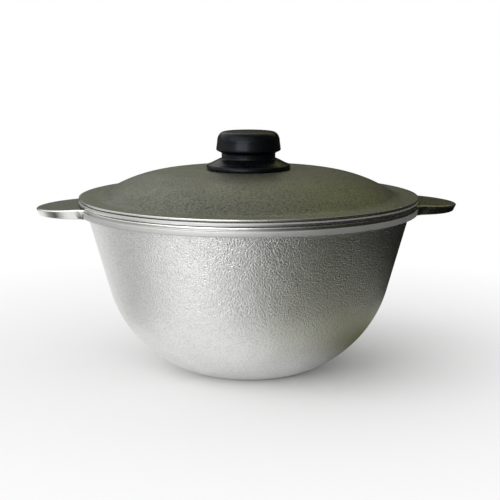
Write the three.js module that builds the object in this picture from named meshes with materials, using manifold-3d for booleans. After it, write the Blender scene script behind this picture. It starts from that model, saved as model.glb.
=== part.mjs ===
// A kazan: a deep cast aluminium stewing pot with two solid ears, and a domed lid
// with a moulded knob that a screw holds from below.
// Millimetres, +Z up, the origin at the centre of the flat base, the ears along X.
import * as THREE from 'three';
import { mergeVertices } from 'three/addons/utils/BufferGeometryUtils.js';
import Module from 'manifold-3d';

const wasm = await Module();
wasm.setup();

// Fit and faceting
const fitGap = 0.3; // between pieces that seat on each other
const bowlSegments = 56;
const knobSegments = 36;
const hardwareSegments = 24;
const heelSteps = 10;
const shoulderSteps = 6;
const crownSteps = 2;
const smallSteps = 3;
const curveSteps = 4;
const earSteps = 8;

// Bowl casting
const rimHeight = 150; // from the base to the top of the rim
const baseRadius = 50; // machined flat that the pot stands on
const baseThickness = 6;
const wallThickness = 4.6;
const wallLean = THREE.MathUtils.degToRad(15.5); // the wall widens upwards
const wallTopRadius = 142.5; // outside of the wall where it meets the collar
const heelRadius = 107; // round between the wall and the base
const collarHeight = 8;
const collarOverhang = 7; // the collar stands out from the wall
const beadHeight = 2.8; // proud ring at the foot of the collar
const beadProud = 0.7;
const collarUnderside = 5; // height of the slope under the collar
const rimEdge = 0.8; // softened edges of the machined rim

// Ears, cast in one with the bowl
const earRadius = 37;
const earReach = 38; // tip of the ear beyond the collar
const earRootThickness = 8.8;
const earTipThickness = 5.6;
const earDroop = THREE.MathUtils.degToRad(4);
const earRootFillet = 18; // in plan, where the ear leaves the collar
const earEdge = 1.4; // rounding of the ear's edges
const earBite = 4; // how far the ear runs into the collar

// Lid casting
const lidOverhang = 0.4; // the lid's edge beyond the bead of the collar
const lidThickness = 3.5;
const lipThickness = 3.6; // flange at the edge of the lid
const lipGap = 2.3; // the lip stays this far above its seat
const lipEdge = 0.9; // rounding of the lip
const lipWidth = 13; // flat part of the flange
const seatInset = 3.4; // from the edge of the rim to the seat ring
const flareRadius = 16; // hollow round from the flange into the dome
const shoulderRadius = 118;
const shoulderSlope = THREE.MathUtils.degToRad(33);
const crownRadius = 1100;
const ribDepth = 5.8; // locating rib below the seat
const ribThickness = 4;
const ribClearance = 0.8; // between the rib and the mouth of the bowl
const bossRadius = 14; // under the middle of the lid
const bossThickness = 6;

// Knob moulding, heights above its underside
const knobBaseRadius = 37.2;
const knobSeatMargin = 1.6; // the machined seat on the lid is this much wider
const knobBaseRound = 1.4; // lower edge of the base
const knobBaseEdge = 4.6; // where the skirt starts
const knobBaseBevel = 2.6; // upper edge of the base
const knobSkirtRadius = 26.5;
const knobSkirtHeight = 8.8;
const knobWaistRadius = 23.8;
const knobWaistLow = 10.6;
const knobWaistHigh = 13.6;
const knobHeadRadius = 28.6;
const knobHeadLow = 17.6;
const knobHeadCorner = 24.6; // where the side turns into the top
const knobTopRadius = 21.5;
const knobHeight = 33;
const knobCrown = 0.5; // rise of the top's middle

// Threaded bush moulded in the knob
const bushRadius = 6;
const bushLength = 14;
const bushGroove = 0.9;
const bushGrooveLength = 5;

// Screw and washers
const screwRadius = 3;
const screwHeadRadius = 5.8;
const screwHeadHeight = 3.6;
const screwHeadFlat = 3.4; // radius of the head's flat face
const screwHeadEdge = 1.6; // height of the head's straight side
const screwPoint = 1; // chamfer at the tip
const screwEngagement = 11.5; // length of the screw inside the bush
const screwSlotWidth = 1.6;
const screwSlotDepth = 1.7;
const holeClearance = 0.5; // round the screw, in the lid and the washers
const washerRadius = 9;
const washerThickness = 1.2;
const springWasherRadius = 5.5;
const springWasherThickness = 1.6;
const springWasherSlit = 1.2;

// Worked out from the sizes above
const collarRadius = wallTopRadius + collarOverhang - beadProud;
const beadRadius = collarRadius + beadProud;
const collarFoot = rimHeight - collarHeight;
const wallTop = collarFoot - collarUnderside;
const lidRadius = beadRadius + lidOverhang;
const seatHeight = rimHeight + fitGap;
const lipUnderside = seatHeight + lipGap;
const lipTop = lipUnderside + lipThickness;

const materials = {
  castAluminium: { color: 0xb9babd, roughness: 0.42, metalness: 1 },
  lidAluminium: { color: 0x74756b, roughness: 0.62, metalness: 0.8 },
  bakelite: { color: 0x0d0e10, roughness: 0.3, metalness: 0 },
  brass: { color: 0xb08d4a, roughness: 0.35, metalness: 1 },
  steel: { color: 0x9a9c9f, roughness: 0.35, metalness: 1 },
  springSteel: { color: 0x6f7275, roughness: 0.4, metalness: 1 },
};

// A point of a half section: distance from the axis, height
function at(radius, height) {
  return new THREE.Vector2(radius, height);
}

// Points of a round about a centre, between two angles measured from +radius towards +height
function round(centre, radius, from, to, steps) {
  const points = [];
  for (let i = 0; i <= steps; i += 1) {
    const angle = from + ((to - from) * i) / steps;
    points.push(at(centre.x + radius * Math.cos(angle), centre.y + radius * Math.sin(angle)));
  }
  return points;
}

// A half section turned about +Z
function turned(points, segments) {
  const geometry = new THREE.LatheGeometry(points, segments);
  geometry.rotateX(Math.PI / 2);
  return geometry;
}

function closed(points) {
  return [...points, points[0].clone()];
}

// Booleans between closed geometries
function solid(geometry) {
  const bare = geometry.clone();
  bare.deleteAttribute('normal');
  bare.deleteAttribute('uv');
  const merged = mergeVertices(bare, 1e-4);
  const mesh = new wasm.Mesh({
    numProp: 3,
    vertProperties: new Float32Array(merged.attributes.position.array),
    triVerts: new Uint32Array(merged.index.array),
  });
  return new wasm.Manifold(mesh);
}

function geometryOf(manifold) {
  const mesh = manifold.getMesh();
  const geometry = new THREE.BufferGeometry();
  geometry.setAttribute('position', new THREE.BufferAttribute(mesh.vertProperties, 3));
  geometry.setIndex(new THREE.BufferAttribute(mesh.triVerts, 1));
  geometry.computeVertexNormals();
  return geometry;
}

// Bowl: the wall leans outwards, and a heel round touches it and ends at the edge of the base
const wallNormal = at(Math.cos(wallLean), -Math.sin(wallLean));
const wallDirection = at(Math.sin(wallLean), Math.cos(wallLean));

function heelCentre() {
  const offsetLine = at(wallTopRadius, collarFoot).addScaledVector(wallNormal, -heelRadius);
  const fromBase = offsetLine.clone().sub(at(baseRadius, 0));
  const along = fromBase.dot(wallDirection);
  const reach = Math.sqrt(along ** 2 - fromBase.lengthSq() + heelRadius ** 2);
  return offsetLine.addScaledVector(wallDirection, reach - along);
}

const heel = heelCentre();

// Radius of the wall at a height, at a depth below its outer face
function wallRadius(height, depth) {
  return wallTopRadius + (height - collarFoot) * Math.tan(wallLean) - depth / Math.cos(wallLean);
}

const mouthRadius = wallRadius(rimHeight, wallThickness);

function bowlProfile() {
  const innerHeel = heelRadius - wallThickness;
  const floorAngle = -Math.asin((heel.y - baseThickness) / innerHeel);
  const baseAngle = -Math.acos((baseRadius - heel.x) / heelRadius);
  const outside = [
    at(0, 0),
    ...round(heel, heelRadius, baseAngle, -wallLean, heelSteps),
    at(wallRadius(wallTop, 0), wallTop),
    at(beadRadius - rimEdge, collarFoot),
    at(beadRadius, collarFoot + rimEdge),
    at(beadRadius, collarFoot + beadHeight - beadProud),
    at(collarRadius, collarFoot + beadHeight),
    at(collarRadius, rimHeight - rimEdge),
    at(collarRadius - rimEdge, rimHeight),
  ];
  const inside = [
    at(mouthRadius + rimEdge, rimHeight),
    at(wallRadius(rimHeight - rimEdge, wallThickness), rimHeight - rimEdge),
    ...round(heel, innerHeel, -wallLean, floorAngle, heelSteps),
    at(0, baseThickness),
  ];
  return [...outside, ...inside];
}

// Ear: a rounded tab in plan, with hollow rounds at its root, thinner and lower towards its tip
function earOutline() {
  const centre = collarRadius + earReach - earRadius;
  const earToFillet = earRadius + earRootFillet;
  const axisToFillet = collarRadius + earRootFillet;
  const filletX = (axisToFillet ** 2 - earToFillet ** 2 + centre ** 2) / (2 * centre);
  const filletY = Math.sqrt(axisToFillet ** 2 - filletX ** 2);
  const filletFromEar = Math.atan2(filletY, filletX - centre);
  const filletFromAxis = Math.atan2(filletY, filletX);
  const shape = new THREE.Shape();
  shape.absarc(filletX, -filletY, earRootFillet, Math.PI - filletFromAxis, Math.PI - filletFromEar, true);
  shape.absarc(centre, 0, earRadius, -filletFromEar, filletFromEar, false);
  shape.absarc(filletX, filletY, earRootFillet, Math.PI + filletFromEar, Math.PI + filletFromAxis, true);
  shape.absarc(0, 0, collarRadius - earBite, filletFromAxis, -filletFromAxis, true);
  return shape;
}

function earGeometry() {
  const depth = earRootThickness - 2 * earEdge;
  const geometry = new THREE.ExtrudeGeometry(earOutline(), {
    depth,
    curveSegments: earSteps,
    bevelThickness: earEdge,
    bevelSize: earEdge,
    bevelOffset: -earEdge,
    bevelSegments: smallSteps - 1,
  });
  const position = geometry.attributes.position;
  const tip = collarRadius + earReach;
  for (let i = 0; i < position.count; i += 1) {
    const outward = position.getX(i) - collarRadius;
    const share = outward / (tip - collarRadius);
    const thickness = earRootThickness + (earTipThickness - earRootThickness) * share;
    const top = rimHeight - Math.tan(earDroop) * Math.max(outward, 0);
    const below = 1 - (position.getZ(i) + earEdge) / earRootThickness;
    position.setZ(i, top - below * thickness);
  }
  return geometry;
}

function bowlGeometry() {
  const rightEar = earGeometry();
  const leftEar = rightEar.clone().rotateZ(Math.PI);
  const pot = solid(turned(bowlProfile(), bowlSegments));
  return geometryOf(pot.add(solid(rightEar)).add(solid(leftEar)));
}

// Lid: flange, hollow flare, convex shoulder and a nearly flat crown, each touching the next
const flangeInner = lidRadius - lipWidth;
const flare = at(flangeInner, lipTop + flareRadius);
const crownSlope = Math.asin(
  (flangeInner - (flareRadius + shoulderRadius) * Math.sin(shoulderSlope)) / (crownRadius - shoulderRadius),
);
const shoulder = at(
  flare.x - (flareRadius + shoulderRadius) * Math.sin(shoulderSlope),
  flare.y - (flareRadius + shoulderRadius) * Math.cos(shoulderSlope),
);
const crown = at(0, shoulder.y - (crownRadius - shoulderRadius) * Math.cos(crownSlope));
const knobSeatRadius = knobBaseRadius + knobSeatMargin;
const knobSeat = crown.y + Math.sqrt(crownRadius ** 2 - knobSeatRadius ** 2);
const bossUnderside = knobSeat - bossThickness;
const screwHoleRadius = screwRadius + holeClearance;

function lidProfile() {
  const ribFoot = seatHeight - ribDepth;
  const ribOuter = wallRadius(ribFoot, wallThickness) - ribClearance;
  const ribInner = ribOuter - ribThickness;
  const crownInner = crownRadius - lidThickness;
  const flareUnder = flareRadius + lidThickness;
  const ribTop = -Math.PI / 2 - Math.asin((flangeInner - ribInner) / flareUnder);
  const flareEnd = -Math.PI / 2 - shoulderSlope;
  const shoulderStart = Math.PI / 2 - shoulderSlope;
  const crownStart = Math.PI / 2 - crownSlope;
  const seatOuter = collarRadius - seatInset;
  const top = [
    at(screwHoleRadius, knobSeat),
    ...round(crown, crownRadius, Math.acos(knobSeatRadius / crownRadius), crownStart, crownSteps),
    ...round(shoulder, shoulderRadius, crownStart, shoulderStart, shoulderSteps).slice(1),
    ...round(flare, flareRadius, flareEnd, -Math.PI / 2, smallSteps).slice(1),
  ];
  const edge = [
    ...round(at(lidRadius - lipEdge, lipTop - lipEdge), lipEdge, Math.PI / 2, 0, smallSteps),
    at(lidRadius, lipUnderside + lipEdge / 2),
    at(lidRadius - lipEdge / 2, lipUnderside),
    at(seatOuter, lipUnderside),
    at(seatOuter, seatHeight),
    at(ribOuter, seatHeight),
    at(ribOuter, ribFoot),
    at(ribInner, ribFoot),
  ];
  const bossTop = crown.y + Math.sqrt(crownInner ** 2 - bossRadius ** 2);
  const under = [
    ...round(flare, flareUnder, ribTop, flareEnd, smallSteps),
    ...round(shoulder, shoulderRadius - lidThickness, shoulderStart, crownStart, shoulderSteps).slice(1),
    at(bossRadius, bossTop),
    at(bossRadius, bossUnderside),
    at(screwHoleRadius, bossUnderside),
  ];
  return closed([...top, ...edge, ...under].reverse());
}

// Knob: a flared base, a waist for the fingers and a broad head, with the bush's pocket below
const knobBottom = knobSeat + fitGap;
const grooveLow = (bushLength - bushGrooveLength) / 2;
const grooveHigh = grooveLow + bushGrooveLength;

// Outline of the bush, grown by a gap for the pocket that it is moulded into
function bushOutline(gap) {
  return [
    at(bushRadius + gap, 0),
    at(bushRadius + gap, grooveLow + gap),
    at(bushRadius - bushGroove + gap, grooveLow + bushGroove + gap),
    at(bushRadius - bushGroove + gap, grooveHigh - bushGroove - gap),
    at(bushRadius + gap, grooveHigh - gap),
    at(bushRadius + gap, bushLength + gap),
  ];
}

function knobProfile() {
  const headMiddle = (knobWaistHigh + knobHeadLow) / 2;
  const cornerWidth = knobHeadRadius - knobTopRadius;
  const cornerHeight = knobHeight - knobHeadCorner;
  const outline = new THREE.Path();
  outline.moveTo(knobBaseRadius - knobBaseRound, 0);
  outline.quadraticCurveTo(knobBaseRadius, 0, knobBaseRadius, knobBaseRound);
  outline.quadraticCurveTo(knobBaseRadius, knobBaseEdge, knobBaseRadius - knobBaseBevel, knobBaseEdge);
  outline.lineTo(knobSkirtRadius, knobSkirtHeight);
  outline.quadraticCurveTo(knobWaistRadius, knobSkirtHeight, knobWaistRadius, knobWaistLow);
  outline.lineTo(knobWaistRadius, knobWaistHigh);
  outline.bezierCurveTo(knobWaistRadius, headMiddle, knobHeadRadius, headMiddle, knobHeadRadius, knobHeadLow);
  outline.lineTo(knobHeadRadius, knobHeadCorner);
  outline.absellipse(knobTopRadius, knobHeadCorner, cornerWidth, cornerHeight, 0, Math.PI / 2, false);
  const pocket = bushOutline(fitGap).reverse();
  return [
    at(0, pocket[0].y),
    ...pocket,
    ...outline.getPoints(curveSteps),
    at(0, knobHeight + knobCrown),
  ];
}

function bushProfile() {
  const bore = screwRadius + fitGap;
  return closed([at(bore, 0), ...bushOutline(0), at(bore, bushLength)]);
}

// Screw and washers, stacked down from the boss under the lid
const washerFoot = bossUnderside - fitGap - washerThickness;
const springWasherFoot = washerFoot - fitGap - springWasherThickness;
const screwHeadTop = springWasherFoot - fitGap;
const screwTip = knobBottom + screwEngagement;

function screwGeometry() {
  const length = screwTip - screwHeadTop;
  const profile = [
    at(0, -screwHeadHeight),
    at(screwHeadFlat, -screwHeadHeight),
    at(screwHeadRadius, -screwHeadEdge),
    at(screwHeadRadius, 0),
    at(screwRadius, 0),
    at(screwRadius, length - screwPoint),
    at(screwRadius - screwPoint, length),
    at(0, length),
  ];
  const slotLength = 2 * (screwHeadRadius + screwSlotDepth);
  const slot = new THREE.BoxGeometry(slotLength, screwSlotWidth, 2 * screwSlotDepth);
  slot.translate(0, 0, -screwHeadHeight);
  return geometryOf(solid(turned(profile, hardwareSegments)).subtract(solid(slot)));
}

function ringGeometry(outer, thickness) {
  const profile = [
    at(screwHoleRadius, 0),
    at(outer, 0),
    at(outer, thickness),
    at(screwHoleRadius, thickness),
  ];
  return turned(closed(profile), hardwareSegments);
}

function springWasherGeometry() {
  const slit = new THREE.BoxGeometry(2 * springWasherRadius, springWasherSlit, 4 * springWasherThickness);
  slit.translate(springWasherRadius, 0, 0);
  return geometryOf(solid(ringGeometry(springWasherRadius, springWasherThickness)).subtract(solid(slit)));
}

function piece(name, geometry, material, height) {
  const mesh = new THREE.Mesh(geometry, new THREE.MeshStandardMaterial(material));
  mesh.name = name;
  mesh.position.z = height;
  return mesh;
}

const lidGroup = new THREE.Group();
lidGroup.add(
  piece('lid', turned(lidProfile(), bowlSegments), materials.lidAluminium, 0),
  piece('lid_knob', turned(knobProfile(), knobSegments), materials.bakelite, knobBottom),
  piece('knob_bush', turned(bushProfile(), hardwareSegments), materials.brass, knobBottom),
  piece('knob_screw', screwGeometry(), materials.steel, screwHeadTop),
  piece('spring_washer', springWasherGeometry(), materials.springSteel, springWasherFoot),
  piece('flat_washer', ringGeometry(washerRadius, washerThickness), materials.steel, washerFoot),
);

const kazan = new THREE.Group();
kazan.add(piece('bowl', bowlGeometry(), materials.castAluminium, 0), lidGroup);

export default kazan;
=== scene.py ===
import math
import bmesh
import bpy
import numpy as np
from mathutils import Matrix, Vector


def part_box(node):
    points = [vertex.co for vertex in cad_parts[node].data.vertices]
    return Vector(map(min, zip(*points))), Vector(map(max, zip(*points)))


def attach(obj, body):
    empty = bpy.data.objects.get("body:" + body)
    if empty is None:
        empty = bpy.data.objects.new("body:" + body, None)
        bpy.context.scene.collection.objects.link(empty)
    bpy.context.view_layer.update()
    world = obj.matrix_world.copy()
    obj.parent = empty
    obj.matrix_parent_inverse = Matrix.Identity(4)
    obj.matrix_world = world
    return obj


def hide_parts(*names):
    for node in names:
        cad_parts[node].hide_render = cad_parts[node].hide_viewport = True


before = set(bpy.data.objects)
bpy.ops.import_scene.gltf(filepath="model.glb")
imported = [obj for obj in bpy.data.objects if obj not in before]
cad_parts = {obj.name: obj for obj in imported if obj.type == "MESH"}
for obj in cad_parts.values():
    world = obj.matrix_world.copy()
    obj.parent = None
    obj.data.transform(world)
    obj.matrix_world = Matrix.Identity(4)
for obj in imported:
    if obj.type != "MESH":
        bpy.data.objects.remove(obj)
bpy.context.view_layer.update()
mm = 0.001
print("frame loaded:", len(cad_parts), "solids")


def srgb(code):  # sRGB hex to linear colour with alpha 1
    part = np.array([int(code[k:k + 2], 16) for k in (1, 3, 5)]) / 255
    linear = np.where(part <= 0.04045, part / 12.92, ((part + 0.055) / 1.055) ** 2.4)
    return (*linear.tolist(), 1.0)


def addNode(tree, kind, inputs, **settings):  # an input is a plain value or another node's output
    node = tree.nodes.new(kind)
    for key, value in settings.items():
        setattr(node, key, value)
    for key, value in inputs.items():
        if isinstance(value, bpy.types.NodeSocket):
            tree.links.new(value, node.inputs[key])
        else:
            node.inputs[key].default_value = value
    return node


def newFinish(name, roughness, metallic):  # material, its tree and shader, and the place on a piece in metres
    finish = bpy.data.materials.new(name)
    finish.use_nodes = True
    tree = finish.node_tree
    shader = tree.nodes["Principled BSDF"]
    shader.inputs["Roughness"].default_value = roughness
    shader.inputs["Metallic"].default_value = metallic
    return finish, tree, shader, addNode(tree, "ShaderNodeTexCoord", {}).outputs["Object"]


def perMetre(size):  # scale of a noise whose grains are this many millimetres wide
    return 1 / (size * mm)


def smooth(value, low, high):  # 0 below low, 1 above high, and 3t^2 - 2t^3 between
    t = np.clip((value - low) / (high - low), 0, 1)
    return t * t * (3 - 2 * t)


def pair(r, z):  # points (r, z), with both spread over the same grid
    return np.stack(np.broadcast_arrays(r, z), -1)


def straight(start, end, count):
    # start + t (end - start), with t from 0 to 1
    t = np.linspace(0, 1, count)[:, None]
    return np.asarray(start) * (1 - t) + np.asarray(end) * t


def arc(centre, radius, start, end, count):
    # centre + radius (cos a, sin a), with a from start to end in degrees
    a = np.radians(np.linspace(start, end, count))[:, None]
    return np.asarray(centre) + radius * np.hstack((np.cos(a), np.sin(a)))


def bend(start, corner, end, count):
    # quadratic curve: (1-t)^2 start + 2t(1-t) corner + t^2 end
    t = np.linspace(0, 1, count)[:, None]
    return (1 - t) ** 2 * np.asarray(start) + 2 * t * (1 - t) * np.asarray(corner) + t ** 2 * np.asarray(end)


def eased(corners, soft, count):
    # lines from corner to corner, each inner corner cut back by soft and bridged by a quadratic bend
    corner = np.asarray(corners, float)
    step = np.diff(corner, axis=0)
    unit = step / np.linalg.norm(step, axis=1)[:, None]
    inner = zip(corner[1:-1], unit[:-1], unit[1:])
    bends = [bend(c - soft * a, c, c + soft * b, count) for c, a, b in inner]
    return np.concatenate([corner[:1], *bends, corner[-1:]])


def assemble(segments, columns):
    # profile segments one after the other, each starting where the last one ended; a zone numbers its finish
    wide = [np.broadcast_to(s if s.ndim == 3 else s[:, None], (len(s), columns, 2)) for s, zone in segments]
    rows = np.concatenate([wide[0][:1]] + [s[1:] for s in wide])
    zones = [np.broadcast_to(zone, (len(s) - 1, columns)) for s, zone in segments]
    return rows, np.concatenate(zones)


def spun(rows, angle):
    # a profile (r, z) carried round the axis: (r cos a, r sin a, z)
    r, z = rows[..., 0], rows[..., 1]
    return np.stack((r * np.cos(angle), r * np.sin(angle), z), -1)


def gridPiece(name, points, finishes, zones, loop=False):
    # point [i, j] is row i at column j; columns close on themselves, and rows too if loop is set. A cell
    # joins two rows and two columns, and faces outwards where the rows run up the outside. Poles merge
    rows, columns = points.shape[:2]
    number = np.arange(rows * columns).reshape(rows, columns)
    low = number if loop else number[:-1]
    high = np.roll(number, -1, 0) if loop else number[1:]
    cells = np.stack((low, np.roll(low, -1, 1), np.roll(high, -1, 1), high), -1).reshape(-1, 4)
    mesh = bpy.data.meshes.new(name)
    mesh.vertices.add(rows * columns)
    mesh.vertices.foreach_set("co", points.ravel())
    mesh.loops.add(cells.size)
    mesh.loops.foreach_set("vertex_index", cells.ravel())
    mesh.polygons.add(len(cells))
    mesh.polygons.foreach_set("loop_start", np.arange(0, cells.size, 4))
    mesh.polygons.foreach_set("material_index", np.ascontiguousarray(zones).ravel())
    mesh.polygons.foreach_set("use_smooth", np.ones(len(cells), bool))
    mesh.update(calc_edges=True)
    work = bmesh.new()
    work.from_mesh(mesh)
    bmesh.ops.remove_doubles(work, verts=work.verts, dist=1e-7)
    work.to_mesh(mesh)
    work.free()
    for finish in finishes:
        mesh.materials.append(finish)
    piece = bpy.data.objects.new(name, mesh)
    bpy.context.scene.collection.objects.link(piece)
    print(name, len(mesh.polygons), "faces")
    return piece


noiseLow, noiseHigh = 0.3, 0.7  # noise mostly stays between these

# Cast aluminium, poured in a coated mould: a pebbled skin that breaks every reflection into grains.
# Sizes here and below are in mm; the pit colour fills the grain's noise below pitFrom and is gone at pitTo
castLook = dict(
    bright="#fafaf9", dull="#ededec", pit="#d8d8d8", smooth=0.30, rough=0.35, pitFrom=0.28, pitTo=0.52,
    grain=1.3, grainRise=0.8, swell=34, swellRise=0.5, blotch=22)
castSkin, tree, shader, place = newFinish("cast aluminium, mould skin", castLook["rough"], 1.0)
blotch = addNode(tree, "ShaderNodeTexNoise",
                 {"Vector": place, "Scale": perMetre(castLook["blotch"]), "Detail": 3.0})
grain = addNode(tree, "ShaderNodeTexNoise",
                {"Vector": place, "Scale": perMetre(castLook["grain"]), "Detail": 2.0})
tint = addNode(tree, "ShaderNodeMix",
               {0: blotch.outputs[0], 6: srgb(castLook["dull"]), 7: srgb(castLook["bright"])},
               data_type="RGBA")
raised = addNode(tree, "ShaderNodeMapRange",
                 {0: grain.outputs[0], 1: castLook["pitFrom"], 2: castLook["pitTo"]})
pitted = addNode(tree, "ShaderNodeMix",
                 {0: raised.outputs[0], 6: srgb(castLook["pit"]), 7: tint.outputs[2]}, data_type="RGBA")
gloss = addNode(tree, "ShaderNodeMapRange", {
    0: blotch.outputs[0], 1: noiseLow, 2: noiseHigh, 3: castLook["smooth"], 4: castLook["rough"]})
swell = addNode(tree, "ShaderNodeTexNoise",
                {"Vector": place, "Scale": perMetre(castLook["swell"]), "Detail": 1.0})
wave = addNode(tree, "ShaderNodeBump",
               {"Height": swell.outputs[0], "Distance": castLook["swellRise"] * mm})
skin = addNode(tree, "ShaderNodeBump", {
    "Height": grain.outputs[0], "Distance": castLook["grainRise"] * mm, "Normal": wave.outputs[0]})
tree.links.new(pitted.outputs[2], shader.inputs["Base Color"])
tree.links.new(gloss.outputs[0], shader.inputs["Roughness"])
tree.links.new(skin.outputs[0], shader.inputs["Normal"])

# Turned aluminium: fine rings left by the lathe tool, which draw light out across them. Fresh cuts shine,
# washing dulls the inside and the collar's band to a skin that scatters light, and the collar's upright face
# is worn between the two. The real feed is about 0.2 mm, too fine to show, so the rings are drawn 0.7 mm wide
turnLook = {
    "aluminium, lathe turned": dict(
        bright="#f6f6f4", dull="#e2e2de", smooth=0.17, rough=0.30, metallic=1.0,
        feed=0.7, feedRise=0.012, smear=18),
    "aluminium, turned and dulled": dict(
        bright="#c6c6c4", dull="#b4b4b2", smooth=0.44, rough=0.56, metallic=0.75,
        feed=0.7, feedRise=0.02, smear=9),
    "aluminium, turned and worn": dict(
        bright="#c4c4c1", dull="#aeaeaa", smooth=0.26, rough=0.38, metallic=1.0,
        feed=0.7, feedRise=0.02, smear=9),
}
turned = {}
for finishName, look in turnLook.items():
    turned[finishName], tree, shader, place = newFinish(finishName, look["rough"], look["metallic"])
    across = addNode(tree, "ShaderNodeVectorMath", {0: place, 1: (1, 1, 0)}, operation="MULTIPLY")
    radius = addNode(tree, "ShaderNodeVectorMath", {0: across.outputs[0]}, operation="LENGTH")
    height = addNode(tree, "ShaderNodeSeparateXYZ", {0: place})
    ring = addNode(tree, "ShaderNodeCombineXYZ", {0: radius.outputs["Value"], 1: height.outputs["Z"]})
    feed = addNode(tree, "ShaderNodeTexNoise",
                   {"Vector": ring.outputs[0], "Scale": perMetre(look["feed"]), "Detail": 2.0},
                   noise_dimensions="2D")
    smear = addNode(tree, "ShaderNodeTexNoise",
                    {"Vector": place, "Scale": perMetre(look["smear"]), "Detail": 3.0})
    tint = addNode(tree, "ShaderNodeMix",
                   {0: feed.outputs[0], 6: srgb(look["dull"]), 7: srgb(look["bright"])}, data_type="RGBA")
    gloss = addNode(tree, "ShaderNodeMapRange", {
        0: smear.outputs[0], 1: noiseLow, 2: noiseHigh, 3: look["smooth"], 4: look["rough"]})
    rings = addNode(tree, "ShaderNodeBump",
                    {"Height": feed.outputs[0], "Distance": look["feedRise"] * mm})
    tree.links.new(tint.outputs[2], shader.inputs["Base Color"])
    tree.links.new(gloss.outputs[0], shader.inputs["Roughness"])
    tree.links.new(rings.outputs[0], shader.inputs["Normal"])
turnedRing, dulledRing, wornRing = turned.values()

# Cast aluminium, shot blasted: a dull grey-olive skin without clear reflections, rubbed paler and smoother in
# soft patches; its oxide scatters some light. The grey-olive is partly the oxide's own tint and partly
# painted shade, darker than the bare metal, and the ears take a darker, fully metallic copy with more painted
# shade
mattLook = {
    # the lid: grey-olive, partly the oxide's tint and partly painted shade
    "cast aluminium, blasted": dict(
        dark="#6d6e63", pale="#7f8074", pit="#515246", smooth=0.38, rough=0.50, metallic=0.8,
        pitFrom=0.32, pitTo=0.56, grain=1.8, grainRise=0.5, patch=28),
    # the ears: darker and fully metallic, with more painted shade
    "cast aluminium, blasted, ears with more painted shade": dict(
        dark="#636459", pale="#727368", pit="#4a4b40", smooth=0.38, rough=0.50, metallic=1.0,
        pitFrom=0.32, pitTo=0.56, grain=1.8, grainRise=0.5, patch=28),
}
matt = {}
for finishName, look in mattLook.items():
    matt[finishName], tree, shader, place = newFinish(finishName, look["rough"], look["metallic"])
    patch = addNode(tree, "ShaderNodeTexNoise",
                    {"Vector": place, "Scale": perMetre(look["patch"]), "Detail": 4.0})
    grain = addNode(tree, "ShaderNodeTexNoise",
                    {"Vector": place, "Scale": perMetre(look["grain"]), "Detail": 2.0})
    tint = addNode(tree, "ShaderNodeMix",
                   {0: patch.outputs[0], 6: srgb(look["dark"]), 7: srgb(look["pale"])}, data_type="RGBA")
    gloss = addNode(tree, "ShaderNodeMapRange", {
        0: patch.outputs[0], 1: noiseLow, 2: noiseHigh, 3: look["rough"], 4: look["smooth"]})
    skin = addNode(tree, "ShaderNodeBump",
                   {"Height": grain.outputs[0], "Distance": look["grainRise"] * mm})
    raised = addNode(tree, "ShaderNodeMapRange", {0: grain.outputs[0], 1: look["pitFrom"], 2: look["pitTo"]})
    pitted = addNode(tree, "ShaderNodeMix",
                     {0: raised.outputs[0], 6: srgb(look["pit"]), 7: tint.outputs[2]}, data_type="RGBA")
    tree.links.new(pitted.outputs[2], shader.inputs["Base Color"])
    tree.links.new(gloss.outputs[0], shader.inputs["Roughness"])
    tree.links.new(skin.outputs[0], shader.inputs["Normal"])
mattSkin, earSkin = matt.values()

# Bakelite, moulded and tumbled: nearly black, with a cool satin gloss that is uneven where fingers rub it
bakeliteLook = dict(
    dark="#050506", pale="#0b0c0e", smooth=0.24, rough=0.32, ior=1.55, specular=0.17, specularTint="#e2efff",
    rub=14, skin=0.9, skinRise=0.008)
bakelite, tree, shader, place = newFinish("bakelite, moulded", bakeliteLook["rough"], 0.0)
shader.inputs["IOR"].default_value = bakeliteLook["ior"]
shader.inputs["Specular IOR Level"].default_value = bakeliteLook["specular"]
shader.inputs["Specular Tint"].default_value = srgb(bakeliteLook["specularTint"])
rub = addNode(tree, "ShaderNodeTexNoise",
              {"Vector": place, "Scale": perMetre(bakeliteLook["rub"]), "Detail": 4.0})
fine = addNode(tree, "ShaderNodeTexNoise",
               {"Vector": place, "Scale": perMetre(bakeliteLook["skin"]), "Detail": 2.0})
tint = addNode(tree, "ShaderNodeMix",
               {0: rub.outputs[0], 6: srgb(bakeliteLook["dark"]), 7: srgb(bakeliteLook["pale"])},
               data_type="RGBA")
gloss = addNode(tree, "ShaderNodeMapRange", {
    0: rub.outputs[0], 1: noiseLow, 2: noiseHigh, 3: bakeliteLook["smooth"], 4: bakeliteLook["rough"]})
skin = addNode(tree, "ShaderNodeBump",
               {"Height": fine.outputs[0], "Distance": bakeliteLook["skinRise"] * mm})
tree.links.new(tint.outputs[2], shader.inputs["Base Color"])
tree.links.new(gloss.outputs[0], shader.inputs["Roughness"])
tree.links.new(skin.outputs[0], shader.inputs["Normal"])

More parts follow.
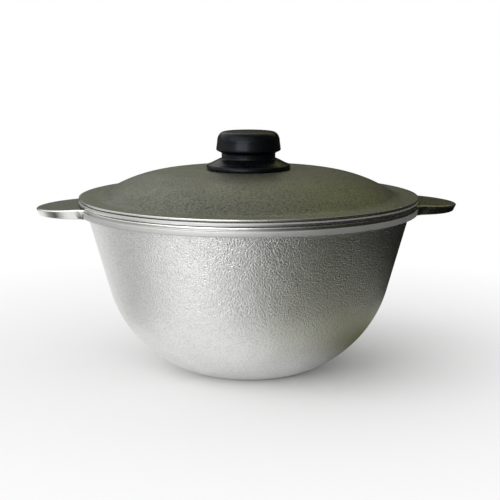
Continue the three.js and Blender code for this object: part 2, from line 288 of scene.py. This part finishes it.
# The fastening: yellow turned brass, zinc-plated steel with a faint blue and straw tint, and spring steel
# that tempering left dark
fasteningLook = {
    "brass, turned": dict(dark="#a8853f", pale="#c6a45c", smooth=0.24, rough=0.36, patch=2.5),
    "steel, zinc plated": dict(dark="#8f959c", pale="#b4b2a4", smooth=0.28, rough=0.42, patch=4.0),
    "spring steel, tempered": dict(dark="#4b4a4c", pale="#6d6b69", smooth=0.34, rough=0.48, patch=3.0),
}
fastening = {}
for finishName, look in fasteningLook.items():
    fastening[finishName], tree, shader, place = newFinish(finishName, look["rough"], 1.0)
    patch = addNode(tree, "ShaderNodeTexNoise",
                    {"Vector": place, "Scale": perMetre(look["patch"]), "Detail": 3.0})
    tint = addNode(tree, "ShaderNodeMix",
                   {0: patch.outputs[0], 6: srgb(look["dark"]), 7: srgb(look["pale"])}, data_type="RGBA")
    gloss = addNode(tree, "ShaderNodeMapRange", {
        0: patch.outputs[0], 1: noiseLow, 2: noiseHigh, 3: look["smooth"], 4: look["rough"]})
    tree.links.new(tint.outputs[2], shader.inputs["Base Color"])
    tree.links.new(gloss.outputs[0], shader.inputs["Roughness"])
print("finishes made")

# Bowl: one casting, its wall spun from a profile and its lip swelling out into the two ears. Angles are in
# degrees; heelReach runs from the heel's centre out to the base's edge, and the trims make room for bends.
# Columns are given as from, to and count, and stand dense along the ear's hollow round
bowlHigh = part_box("bowl")[1]
bowl = dict(
    rim=bowlHigh.z, earTip=bowlHigh.x, base=50 * mm, baseEdge=3 * mm, floor=6 * mm, floorBlend=8 * mm,
    floorTrim=4.0, wall=4.6 * mm, wallTop=142.5 * mm, lean=15.5, heel=107 * mm, heelReach=29.34 * mm,
    heelTrim=1.6, collar=8 * mm, cove=1.2 * mm, band=4.8 * mm, bandProud=0.9 * mm, bandSquare=4.0,
    rimEdge=1.2 * mm, earRadius=37 * mm, earReach=38 * mm, earRoot=8.8 * mm, earEnd=6.0 * mm, earDroop=4.0,
    earFillet=18 * mm, earEdge=1.2 * mm, earEdgeMost=5 * mm, earDraft=2.0 * mm, earInset=1.3 * mm,
    blendOver=5 * mm, columns=((0, 9, 16), (9, 18, 44), (18, 23, 8), (23, 90, 40)))
bowlFinishes = [castSkin, turnedRing, earSkin, dulledRing, wornRing]
castZone, turnedZone, earZone, dulledZone, wornZone = range(5)
lean = math.radians(bowl["lean"])
collarFoot = bowl["rim"] - bowl["collar"]
coveFoot = collarFoot - bowl["cove"]
collarRadius = bowl["earTip"] - bowl["earReach"]
coveRadius = bowl["wallTop"] - bowl["cove"] * math.tan(lean)
heelHeight = math.sqrt(bowl["heel"] ** 2 - bowl["heelReach"] ** 2)  # the round ends on the base flat
heelEnd = heelHeight - bowl["heel"] * math.sin(lean)
heelRadius = bowl["wallTop"] - (collarFoot - heelEnd) * math.tan(lean) - bowl["heel"] * math.cos(lean)
heelCentre = (heelRadius, heelHeight)
mouth = bowl["wallTop"] + bowl["collar"] * math.tan(lean) - bowl["wall"] / math.cos(lean)

quarter = [np.linspace(start, end, count, False) for start, end, count in bowl["columns"]]
quarter = np.radians(np.concatenate(quarter))
half = np.concatenate((quarter, [np.pi / 2], np.pi - quarter[:0:-1]))
around = np.round(np.concatenate((half, half + np.pi)), 9)


def earOutline(angle):
    # distance of the lip's edge from the axis: the ear's circle, then the hollow fillet's circle, then the
    # collar; and the angle from the nearer ear's middle
    near = np.abs((angle + np.pi / 2) % np.pi - np.pi / 2)
    centre = bowl["earTip"] - bowl["earRadius"]
    toEar, toAxis = bowl["earRadius"] + bowl["earFillet"], collarRadius + bowl["earFillet"]
    filletX = (toAxis ** 2 - toEar ** 2 + centre ** 2) / (2 * centre)
    filletY = math.sqrt(toAxis ** 2 - filletX ** 2)
    collarStart = math.atan2(filletY, filletX)
    share = bowl["earRadius"] / toEar
    filletStart = math.atan2(share * filletY, centre + share * (filletX - centre))
    chord = np.maximum(bowl["earRadius"] ** 2 - (centre * np.sin(near)) ** 2, 0)
    ear = centre * np.cos(near) + np.sqrt(chord)
    gap = np.maximum(bowl["earFillet"] ** 2 - (toAxis * np.sin(near - collarStart)) ** 2, 0)
    fillet = toAxis * np.cos(near - collarStart) - np.sqrt(gap)
    return np.where(near < filletStart, ear, np.where(near < collarStart, fillet, collarRadius)), near


def earTop(x):  # the ear's upper face sinks with the droop from the collar outwards
    return bowl["rim"] - np.tan(np.radians(bowl["earDroop"])) * np.maximum(x - collarRadius, 0)


def earUnder(x):  # the upper face less a thickness that falls from root to tip
    share = np.clip((x - collarRadius) / bowl["earReach"], 0, 1)
    return earTop(x) - bowl["earRoot"] - (bowl["earEnd"] - bowl["earRoot"]) * share


def lipRows(angle):
    # the lip from the wall's top to the mouth: the collar's rows everywhere, blended into the ear's rows by
    # how far the outline stands out from the collar; and the zone of each cell
    edge, near = earOutline(angle)
    slope = np.gradient(edge, angle) / edge
    out = smooth(edge, collarRadius, collarRadius + bowl["blendOver"])
    evenEdge = bowl["earEdge"] * np.sqrt(1 + slope ** 2)  # keeps the round even along the outline
    soft = np.minimum(evenEdge, bowl["earEdgeMost"])
    split = collarRadius - bowl["earInset"]  # the blasted ear ends here, under the lid's edge
    faceTop = bowl["rim"] - bowl["rimEdge"]
    rimStart = (collarRadius - bowl["rimEdge"], bowl["rim"])
    rest = straight((split, bowl["rim"]), (mouth + bowl["rimEdge"], bowl["rim"]), 5)[1:]
    # collar: cove, raised band with a squared-off round section, upright face, rim edge and rim
    swing = np.radians(np.linspace(-90, 90, 17))[1:, None]
    proud = np.abs(np.cos(swing)) ** (2 / bowl["bandSquare"])
    climb = np.sign(swing) * np.abs(np.sin(swing)) ** (2 / bowl["bandSquare"])
    collarParts = [
        bend((coveRadius, coveFoot), (bowl["wallTop"], collarFoot), (collarRadius, collarFoot), 14),
        np.hstack((collarRadius + bowl["bandProud"] * proud, collarFoot + bowl["band"] / 2 * (1 + climb))),
        straight((collarRadius, collarFoot + bowl["band"]), (collarRadius, faceTop), 4)[1:],
        bend((collarRadius, faceTop), (collarRadius, bowl["rim"]), rimStart, 7)[1:],
        straight(rimStart, (split, bowl["rim"]), 10)[1:],
        rest]
    collar = np.concatenate(collarParts)[:, None]
    # ear: underside with a hollow at the wall, drafted side with rounded edges, drooping top
    taper = bowl["earDraft"] * soft / bowl["earEdge"]
    t = np.linspace(0, 1, 14)[:, None]
    r = coveRadius + (edge - taper - soft - coveRadius) * t
    hollow = (earUnder(coveRadius * np.cos(near)) - coveFoot) * np.exp(-(r - coveRadius) / bowl["cove"])
    under = pair(r, earUnder(r * np.cos(near)) - hollow)
    foot = under[-1, :, 1]
    turn = np.radians(np.linspace(-90, 0, 6))[1:, None]
    lower = pair(edge - taper - soft + soft * np.cos(turn), foot + bowl["earEdge"] * (1 + np.sin(turn)))
    top = earTop((edge - soft) * np.cos(near))
    t = np.linspace(0, 1, 15)[1:, None]
    side = pair(edge - taper * (1 - t), (foot + bowl["earEdge"]) * (1 - t) + (top - bowl["earEdge"]) * t)
    turn = np.radians(np.linspace(0, 90, 7))[1:, None]
    upper = pair(edge - soft + soft * np.cos(turn), top - bowl["earEdge"] * (1 - np.sin(turn)))
    t = np.linspace(0, 1, 10)[1:, None]
    r = (edge - soft) * (1 - t) + split * t
    crown = pair(r, earTop(r * np.cos(near)))
    rim = np.broadcast_to(rest[:, None], (len(rest), len(angle), 2))
    ear = np.concatenate((under, lower, side, upper, crown, rim))
    cells = [len(part) for part in collarParts]
    cells[0] -= 1  # the first part brings its first row along
    onCollar = np.repeat((castZone, dulledZone, wornZone, turnedZone, turnedZone, turnedZone), cells)
    onEar = np.repeat((castZone, turnedZone, turnedZone, turnedZone, earZone, turnedZone), cells)
    isEar = (out + np.roll(out, -1)) / 2 > 0.5
    return collar + (ear - collar) * out[:, None], np.where(isEar, onEar[:, None], onCollar[:, None])


heelStart = math.degrees(math.asin(-heelHeight / bowl["heel"]))
heelRows = arc(heelCentre, bowl["heel"], heelStart + bowl["heelTrim"], -bowl["lean"], 34)
baseCorner = arc(heelCentre, bowl["heel"], heelStart, heelStart, 1)[0]
baseFlat = (bowl["base"] - bowl["baseEdge"], 0)
innerHeel = bowl["heel"] - bowl["wall"]
floorAngle = math.degrees(math.asin((bowl["floor"] - heelHeight) / innerHeel))
innerRows = arc(heelCentre, innerHeel, -bowl["lean"], floorAngle + bowl["floorTrim"], 30)
floorCorner = arc(heelCentre, innerHeel, floorAngle, floorAngle, 1)[0]
floorFlat = (floorCorner[0] - bowl["floorBlend"], bowl["floor"])
mouthCut = (mouth - bowl["rimEdge"] * math.tan(lean), bowl["rim"] - bowl["rimEdge"])
mouthEdge = bend((mouth + bowl["rimEdge"], bowl["rim"]), (mouth, bowl["rim"]), mouthCut, 6)
# runs from the base's middle up the outside, over the lip and down the inside to the floor's middle
segments = [
    (straight((0, 0), baseFlat, 7), turnedZone), (bend(baseFlat, baseCorner, heelRows[0], 6), castZone),
    (heelRows, castZone), (straight(heelRows[-1], (coveRadius, coveFoot), 18), castZone),
    lipRows(around),
    (mouthEdge, turnedZone), (straight(mouthCut, innerRows[0], 14), dulledZone), (innerRows, dulledZone),
    (bend(innerRows[-1], floorCorner, floorFlat, 6), dulledZone),
    (straight(floorFlat, (0, bowl["floor"]), 8), dulledZone)]
rows, zones = assemble(segments, len(around))
bowlPiece = gridPiece("bowl_casting", spun(rows, around), bowlFinishes, zones)
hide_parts("bowl")
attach(bowlPiece, "pot")

# Lid: one casting, matt above, with a groove between two rings turned in its edge, a seat on the rim, a
# locating rib and a boss for the screw
lidLow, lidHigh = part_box("lid")
lid = dict(
    radius=lidHigh.x, ribFoot=lidLow.z, lipGap=0.4 * mm, lipThick=5.5 * mm, lipEdge=0.9 * mm,
    lipWidth=13 * mm, lipSoft=0.3 * mm, groove=3.05 * mm, grooveWide=0.95 * mm, grooveDeep=2.6 * mm,
    grooveRound=1.3 * mm, seatGap=0.3 * mm, seatInset=3.4 * mm, skin=3.5 * mm, flare=16 * mm,
    shoulder=118 * mm, slope=33.0, crown=1100 * mm, ribThick=4 * mm, ribOuter=137.62 * mm, boss=14 * mm,
    bossThick=6 * mm, bossRoot=3 * mm, bossFlare=0.6 * mm, bossDrop=0.4 * mm, hole=3.5 * mm,
    knobSeat=38.8 * mm, soft=0.18 * mm, columns=240)
lidFinishes = [mattSkin, turnedRing, dulledRing]
skinZone, cutZone, ringZone = range(3)
hole, rim, soft, lipSoft = lid["hole"], lid["radius"], lid["soft"], lid["lipSoft"]
seatHeight = bowl["rim"] + lid["seatGap"]
seatOuter = collarRadius - lid["seatInset"]
lipUnder = seatHeight + lid["lipGap"]
lipTop = lipUnder + lid["lipThick"]
slope = math.radians(lid["slope"])
flareCentre = np.array((rim - lid["lipWidth"], lipTop + lid["flare"]))
slopeWay = np.array((math.sin(slope), math.cos(slope)))
shoulderCentre = flareCentre - (lid["flare"] + lid["shoulder"]) * slopeWay
crownReach = lid["crown"] - lid["shoulder"]
crownSlope = math.degrees(math.asin(shoulderCentre[0] / crownReach))
crownCentre = np.array((0, shoulderCentre[1] - crownReach * math.cos(math.radians(crownSlope))))
seatAngle = math.degrees(math.acos(lid["knobSeat"] / lid["crown"]))
knobSeat = crownCentre[1] + math.sqrt(lid["crown"] ** 2 - lid["knobSeat"] ** 2)
bossUnder = knobSeat - lid["bossThick"]
inCrown = lid["crown"] - lid["skin"]
inShoulder = lid["shoulder"] - lid["skin"]
inFlare = lid["flare"] + lid["skin"]
bossAngle = math.degrees(math.acos((lid["boss"] + lid["bossRoot"]) / inCrown))
bossFoot = arc(crownCentre, inCrown, bossAngle, bossAngle, 1)[0]
ribInner = lid["ribOuter"] - lid["ribThick"]
ribRoot = flareCentre[1] - math.sqrt(inFlare ** 2 - (flareCentre[0] - ribInner) ** 2)
ribAngle = math.degrees(math.atan2(ribRoot - flareCentre[1], ribInner - flareCentre[0]))
lipIn = rim - lid["lipEdge"]
grooveLow = lipUnder + lid["groove"]
grooveHigh = grooveLow + lid["grooveWide"]
grooveIn = rim - lid["grooveDeep"]
ringIn = rim - lid["grooveRound"]
ringFoot = grooveLow - lid["grooveRound"]
# runs from the screw hole out under the boss, down the rib and seat, up the edge and back over the top
underRows = np.concatenate((
    eased([(hole, bossUnder), (lid["boss"], bossUnder),
           (lid["boss"] + lid["bossFlare"], bossFoot[1] - lid["bossDrop"]), bossFoot], soft, 5),
    arc(crownCentre, inCrown, bossAngle, 90 - crownSlope, 14)[1:],
    arc(shoulderCentre, inShoulder, 90 - crownSlope, 90 - lid["slope"], 24)[1:],
    arc(flareCentre, inFlare, -90 - lid["slope"], ribAngle, 8)[1:]))
seatRows = eased([
    (ribInner, ribRoot), (ribInner, lid["ribFoot"]), (lid["ribOuter"], lid["ribFoot"]),
    (lid["ribOuter"], seatHeight), (seatOuter, seatHeight), (seatOuter, lipUnder),
    (lipIn, lipUnder)], soft, 5)
lowerFace = eased([(lipIn, lipUnder), (rim, lipUnder), (rim, ringFoot)], lipSoft, 5)
lowerRing = bend((rim, ringFoot), (rim, grooveLow), (ringIn, grooveLow), 9)
slot = eased([(ringIn, grooveLow), (grooveIn, grooveLow), (grooveIn, grooveHigh), (lipIn, grooveHigh)],
             lipSoft, 5)
upperRing = eased([(lipIn, grooveHigh), (rim, grooveHigh), (rim, lipTop), (lipIn, lipTop)], lipSoft, 5)
overRows = np.concatenate((
    straight((lipIn, lipTop), flareCentre - (0, lid["flare"]), 8),
    arc(flareCentre, lid["flare"], -90, -90 - lid["slope"], 10)[1:],
    arc(shoulderCentre, lid["shoulder"], 90 - lid["slope"], 90 - crownSlope, 30)[1:],
    arc(crownCentre, lid["crown"], 90 - crownSlope, seatAngle, 10)[1:]))
boreRows = np.concatenate((
    straight(overRows[-1], (hole, knobSeat), 6),
    straight((hole, knobSeat), (hole, bossUnder), 4)[1:]))
segments = [
    (underRows, skinZone), (seatRows, cutZone), (lowerFace, cutZone), (lowerRing, ringZone),
    (slot, skinZone), (upperRing, cutZone), (overRows, skinZone), (boreRows, skinZone)]
turns = np.linspace(0, 2 * np.pi, lid["columns"], False)
rows, zones = assemble(segments, len(turns))
lidPiece = gridPiece("lid_casting", spun(rows[:-1], turns), lidFinishes, zones, loop=True)
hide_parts("lid")
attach(lidPiece, "lid")

# Knob: one moulding, with a flared base, a waist for the fingers, a broad head and a pocket for the bush.
# Heights count from the knob's foot
knobLow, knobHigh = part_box("lid_knob")
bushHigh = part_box("knob_bush")[1]
knob = dict(
    foot=knobLow.z, top=knobHigh.z, base=37.2 * mm, baseRound=1.4 * mm, baseEdge=4.6 * mm,
    baseBevel=2.6 * mm, skirt=26.5 * mm, skirtRise=8.8 * mm, waist=23.8 * mm, waistLow=10.6 * mm,
    waistHigh=13.6 * mm, head=28.6 * mm, headTop=27.7 * mm, headLow=17.6 * mm, headCorner=24.6 * mm,
    flat=21.5 * mm, rise=33 * mm, pocketGap=0.3 * mm, pocketSoft=0.3 * mm, columns=160)
pocket = bushHigh.x + knob["pocketGap"]
pocketTop = bushHigh.z - knob["foot"] + knob["pocketGap"]
baseStart = (knob["base"] - knob["baseRound"], 0)
baseLow = (knob["base"], knob["baseRound"])
baseHigh = (knob["base"] - knob["baseBevel"], knob["baseEdge"])
skirtEnd = (knob["skirt"], knob["skirtRise"])
waistLow = (knob["waist"], knob["waistLow"])
# from waist to head: r rises by 3t^2 - 2t^3, and z leaves and arrives slowly
t = np.linspace(0, 1, 18)[:, None]
belly = (knob["waistHigh"] + knob["headLow"]) / 2
swellOut = np.hstack((
    knob["waist"] + (knob["head"] - knob["waist"]) * (3 * t ** 2 - 2 * t ** 3),
    (1 - t) ** 3 * knob["waistHigh"] + 3 * t * (1 - t) * belly + t ** 3 * knob["headLow"]))
# the head's corner: a quarter of an ellipse
sweep = np.radians(np.linspace(0, 90, 16))[:, None]
headCorner = np.hstack((
    knob["flat"] + (knob["headTop"] - knob["flat"]) * np.cos(sweep),
    knob["headCorner"] + (knob["rise"] - knob["headCorner"]) * np.sin(sweep)))
knobRows = np.concatenate((
    eased([(0, pocketTop), (pocket, pocketTop), (pocket, 0), baseStart], knob["pocketSoft"], 4),
    bend(baseStart, (knob["base"], 0), baseLow, 7)[1:],
    bend(baseLow, (knob["base"], knob["baseEdge"]), baseHigh, 9)[1:],
    straight(baseHigh, skirtEnd, 7)[1:],
    bend(skirtEnd, (knob["waist"], knob["skirtRise"]), waistLow, 8)[1:],
    straight(waistLow, (knob["waist"], knob["waistHigh"]), 4)[1:],
    swellOut[1:],
    straight((knob["head"], knob["headLow"]), (knob["headTop"], knob["headCorner"]), 5)[1:],
    headCorner[1:],
    straight((knob["flat"], knob["rise"]), (0, knob["top"] - knob["foot"]), 8)[1:])) + (0, knob["foot"])
turns = np.linspace(0, 2 * np.pi, knob["columns"], False)
rows, zones = assemble([(knobRows, 0)], len(turns))
knobPiece = gridPiece("knob_moulding", spun(rows, turns), [bakelite], zones)
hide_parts("lid_knob")
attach(knobPiece, "lid")

# Flat washer: stamped, with rounded edges; its profile starts and ends at a seam on the lower face
washerLow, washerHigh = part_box("flat_washer")
washer = dict(inner=3.5 * mm, seam=2 * mm, edge=0.25 * mm, columns=96)
seam = (washer["inner"] + washer["seam"], washerLow.z)
ringRows = eased([
    seam, (washerHigh.x, washerLow.z), (washerHigh.x, washerHigh.z), (washer["inner"], washerHigh.z),
    (washer["inner"], washerLow.z), seam], washer["edge"], 4)
turns = np.linspace(0, 2 * np.pi, washer["columns"], False)
rows, zones = assemble([(ringRows, 0)], len(turns))
zincPlated = [fastening["steel, zinc plated"]]
washerPiece = gridPiece("flat_washer_stamping", spun(rows[:-1], turns), zincPlated, zones, loop=True)
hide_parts("flat_washer")
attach(washerPiece, "lid")

# The hidden rest of the fastening keeps its CAD shapes
hiddenFinish = dict(
    knob_bush="brass, turned", knob_screw="steel, zinc plated", spring_washer="spring steel, tempered")
for nodeName, finishName in hiddenFinish.items():
    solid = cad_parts[nodeName]
    solid.data.materials.clear()
    solid.data.materials.append(fastening[finishName])
print("pieces made")


def shownRays(tree):  # 1 for the rays that show the background: camera, glossy and transmission rays
    rays = addNode(tree, "ShaderNodeLightPath", {}).outputs
    mirrored = addNode(tree, "ShaderNodeMath", {0: rays["Is Camera Ray"], 1: rays["Is Glossy Ray"]},
                       operation="MAXIMUM")
    shown = addNode(tree, "ShaderNodeMath", {0: mirrored.outputs[0], 1: rays["Is Transmission Ray"]},
                    operation="MAXIMUM")
    return shown.outputs[0]


def sheetPiece(name, points, finish, **values):
    # one sheet of the stage: an open grid where point [i, j] is row i at column j, with named values at each
    rows, columns = points.shape[:2]
    number = np.arange(rows * columns).reshape(rows, columns)
    cells = np.stack((number[:-1, :-1], number[:-1, 1:], number[1:, 1:], number[1:, :-1]), -1).reshape(-1, 4)
    mesh = bpy.data.meshes.new(name)
    mesh.from_pydata(points.reshape(-1, 3).tolist(), [], cells.tolist())
    for label, value in values.items():
        spread = np.ascontiguousarray(np.broadcast_to(value, (rows, columns)), np.float32)
        mesh.attributes.new(label, "FLOAT", "POINT").data.foreach_set("value", spread.ravel())
    mesh.materials.append(finish)
    sheet = bpy.data.objects.new(name, mesh)
    bpy.context.scene.collection.objects.link(sheet)
    return sheet


# Floor: a paper sweep that keeps the pot's shadow, and turns to plain white away from it
sweepLook = dict(paper="#f2f2f2", rough=0.9, halfSize=14.0, whiteFrom=0.11, whiteTo=0.55)
sweepPaper, tree, shader, place = newFinish("paper sweep", sweepLook["rough"], 0.0)
shader.inputs["Base Color"].default_value = srgb(sweepLook["paper"])
shader.inputs["Specular IOR Level"].default_value = 0.0
shown = shownRays(tree)
away = addNode(tree, "ShaderNodeVectorMath", {0: place}, operation="LENGTH")
white = addNode(tree, "ShaderNodeMapRange",
                {0: away.outputs["Value"], 1: sweepLook["whiteFrom"], 2: sweepLook["whiteTo"]})
share = addNode(tree, "ShaderNodeMath", {0: shown, 1: white.outputs[0]}, operation="MULTIPLY")
glow = addNode(tree, "ShaderNodeEmission", {"Color": (1, 1, 1, 1), "Strength": 1.0})
paper = addNode(tree, "ShaderNodeMixShader", {0: share.outputs[0], 1: shader.outputs[0], 2: glow.outputs[0]})
tree.links.new(paper.outputs[0], tree.nodes["Material Output"].inputs["Surface"])
span = np.linspace(-sweepLook["halfSize"], sweepLook["halfSize"], 3)
sheetPiece("floor", np.stack((*np.meshgrid(span, span), np.zeros((3, 3))), -1), sweepPaper)

# Flags: dark sheets that only reflections see, painted dark reflections of a dim room, tinted olive in
# places.
# Their tables give values by degrees to the right of the camera, and a shade goes from 0, open, to 1, closed
paintedReflection = dict(dark="#101009", olive="#b9bb6c", rough=1.0, near=0.07, far=1.3, lift=1.5 * mm)
paintedReflectionFinish, tree, shader, place = newFinish("painted dark reflections", paintedReflection["rough"], 0.0)
shader.inputs["Specular IOR Level"].default_value = 0.0
tone = addNode(tree, "ShaderNodeAttribute", {}, attribute_name="flagTint")
tint = addNode(tree, "ShaderNodeMix",
               {0: tone.outputs["Fac"], 6: srgb(paintedReflection["dark"]), 7: srgb(paintedReflection["olive"])}, data_type="RGBA")
tree.links.new(tint.outputs[2], shader.inputs["Base Color"])
closed = addNode(tree, "ShaderNodeAttribute", {}, attribute_name="flagShade")
clear = addNode(tree, "ShaderNodeBsdfTransparent", {})
cloth = addNode(tree, "ShaderNodeMixShader",
                {0: closed.outputs["Fac"], 1: clear.outputs[0], 2: shader.outputs[0]})
tree.links.new(cloth.outputs[0], tree.nodes["Material Output"].inputs["Surface"])
bearing = np.linspace(-150, 210, 181)
flagTurn = np.radians(bearing - 90)
everyTurn = np.ones_like(flagTurn)


def tableAt(table):  # a table of (degrees, value) read along the flags' columns
    return np.interp(bearing, *np.transpose(table))


# On the floor: painted shade that only reflections see, standing in for the pot's shadow and the dim room
# beyond, and tinted olive near the pot. Five tables run from under the pot outwards, with steps from one to
# the next at these distances
lying = dict(
    tables=(
        ((-150, 0.0), (-5, 0.0), (13, 0.03), (31, 0.07), (51, 0.28), (75, 0.5), (110, 0.5), (180, 0.4),
         (210, 0.0)),
        ((-150, 0.0), (-20, 0.0), (-5, 0.03), (13, 0.4), (31, 0.53), (51, 0.8), (75, 0.93), (110, 0.94),
         (180, 0.75), (210, 0.0)),
        ((-150, 0.04), (-112, 0.04), (-94, 0.43), (-80, 0.57), (-68, 0.24), (-58, 0.0), (-31, 0.0),
         (-20, 0.15), (-12, 0.4), (-4, 0.52), (6, 0.64), (15, 0.72), (31, 0.78), (51, 0.8), (75, 0.72),
         (110, 0.72), (180, 0.8), (205, 0.24), (210, 0.04)),
        ((-150, 0.06), (-112, 0.06), (-94, 0.72), (-80, 0.95), (-68, 0.4), (-58, 0.0), (-31, 0.0),
         (-20, 0.3), (-12, 0.9), (-4, 1.0), (180, 1.0), (205, 0.4), (210, 0.06)),
        ((-150, 0.15), (-110, 0.3), (-75, 0.5), (-60, 0.2), (-25, 0.2), (0, 0.5), (15, 0.9), (35, 0.97),
         (180, 0.99), (210, 0.15))),
    steps=((0.08, 0.12), (0.13, 0.19), (0.23, 0.28), (0.5, 0.8)),
    olive=0.28, oliveFrom=0.16, oliveTo=0.28, rows=240)
reach = np.linspace(paintedReflection["near"], paintedReflection["far"], lying["rows"])[:, None]
levels = [tableAt(table) for table in lying["tables"]]
shade = levels[0]
for inside, beyond, step in zip(levels, levels[1:], lying["steps"]):
    shade = shade + (beyond - inside) * smooth(reach, *step)
fadeIn = smooth(reach, *lying["steps"][0])
fadeOut = 1 - smooth(reach, lying["oliveFrom"], lying["oliveTo"])
floorFlag = sheetPiece("flag_on_floor", spun(pair(reach * everyTurn, paintedReflection["lift"]), flagTurn), paintedReflectionFinish,
                       flagShade=shade, flagTint=lying["olive"] * fadeIn * fadeOut)

# Standing round the pot, painted dark reflections of the room's walls, the upper part tinted olive in places:
# one shade up to a height, and another one above it, which fades out at the top
standing = dict(
    low=((-150, 0.9), (-105, 0.4), (-80, 0.3), (-20, 0.3), (0, 0.8), (20, 0.9), (60, 0.98), (170, 0.97),
         (190, 0.95), (210, 0.9)),
    high=((-150, 0.12), (-125, 0.0), (-10, 0.0), (15, 0.5), (35, 0.97), (120, 0.97), (152, 0.94),
          (168, 0.62), (180, 0.38), (195, 0.0), (210, 0.12)),
    change=((-150, 0.5), (-100, 0.2), (30, 0.2), (60, 0.5), (140, 0.66), (168, 0.68), (180, 0.42),
            (195, 0.4), (210, 0.5)),
    tint=((-150, 1.0), (-20, 0.1), (110, 0.1), (140, 1.0), (210, 1.0)),
    blend=0.35, top=3.6, fadeFrom=0.75, rows=60)
share = np.linspace(0, 1, standing["rows"])[:, None]
rise = paintedReflection["lift"] + share * standing["top"]
low, high, change = tableAt(standing["low"]), tableAt(standing["high"]), tableAt(standing["change"])
above = smooth(rise, change, change + standing["blend"])
shade = (low + (high - low) * above) * (1 - smooth(share, standing["fadeFrom"], 1.0))
roundFlag = sheetPiece("flag_standing", spun(pair(paintedReflection["far"] * everyTurn, rise), flagTurn), paintedReflectionFinish,
                       flagShade=shade, flagTint=above * tableAt(standing["tint"]))

# Hanging over the pot, a painted dark reflection of the ceiling: a disc that thins out towards its edge as
# 1 - (r / radius)^2
hanging = dict(shade=0.72, height=1.6, radius=1.0, ahead=0.15, rows=20)
reach = np.linspace(0, hanging["radius"], hanging["rows"])[:, None]
disc = spun(pair(reach * everyTurn, hanging["height"]), flagTurn) - (0, hanging["ahead"], 0)
topFlag = sheetPiece("flag_overhead", disc, paintedReflectionFinish,
                     flagShade=hanging["shade"] * (1 - (reach / hanging["radius"]) ** 2))
for flag in (floorFlag, roundFlag, topFlag):
    flag.visible_camera = flag.visible_diffuse = flag.visible_shadow = False
print("floor and flags made")

# Light: an even fill, a broad soft sky from the left, and a wide window for the knob's gloss
light = dict(
    fill=0.75, sky=0.77, skyWide=60.0, skyFrom=(-1.0, -0.75, 0.95), windowAt=-27.0, windowAway=1.5,
    windowMiddle=0.42, windowAim=0.15, windowWide=1.2, windowTall=0.36, windowPower=7.2)
world = bpy.data.worlds.new("studio")
bpy.context.scene.world = world
world.use_nodes = True
tree = world.node_tree
strength = addNode(tree, "ShaderNodeMapRange", {0: shownRays(tree), 3: light["fill"], 4: 1.0})
backdrop = tree.nodes["Background"]
backdrop.inputs["Color"].default_value = (1, 1, 1, 1)
tree.links.new(strength.outputs[0], backdrop.inputs["Strength"])
skyData = bpy.data.lights.new("sky", "SUN")
skyData.energy = light["sky"]
skyData.angle = math.radians(light["skyWide"])
windowData = bpy.data.lights.new("window", "AREA")
windowData.energy = light["windowPower"]
windowData.shape = "RECTANGLE"
windowData.size = light["windowWide"]
windowData.size_y = light["windowTall"]
skySpot = Vector(light["skyFrom"])
windowTurn = math.radians(light["windowAt"] - 90)
windowSpot = Vector((math.cos(windowTurn) * light["windowAway"], math.sin(windowTurn) * light["windowAway"],
                     light["windowMiddle"]))
windowFacing = windowSpot - Vector((0, 0, light["windowAim"]))
for lampData, spot, facing in ((skyData, skySpot, skySpot), (windowData, windowSpot, windowFacing)):
    lamp = bpy.data.objects.new(lampData.name, lampData)
    bpy.context.scene.collection.objects.link(lamp)
    lamp.location = spot
    lamp.rotation_mode = "QUATERNION"
    lamp.rotation_quaternion = facing.to_track_quat("Z", "Y")

# Camera, fitted to the rim lines and the outline
eye = dict(
    azimuth=-5.0, elevation=9.9, distance=1.2, target=(0, 0, 0.1064), lens=96.52, sensor=36, shift=0.003)
cameraData = bpy.data.cameras.new("camera")
cameraData.lens = eye["lens"]
cameraData.sensor_width = eye["sensor"]
cameraData.shift_x = eye["shift"]
camera = bpy.data.objects.new("camera", cameraData)
bpy.context.scene.collection.objects.link(camera)
turn, tilt = math.radians(eye["azimuth"]), math.radians(eye["elevation"])
back = Vector((math.sin(turn) * math.cos(tilt), -math.cos(turn) * math.cos(tilt), math.sin(tilt)))
camera.location = Vector(eye["target"]) + back * eye["distance"]
camera.rotation_mode = "QUATERNION"
camera.rotation_quaternion = (-back).to_track_quat("-Z", "Y")
bpy.context.scene.camera = camera
bpy.context.scene.view_settings.view_transform = "Standard"
print("light and camera set")
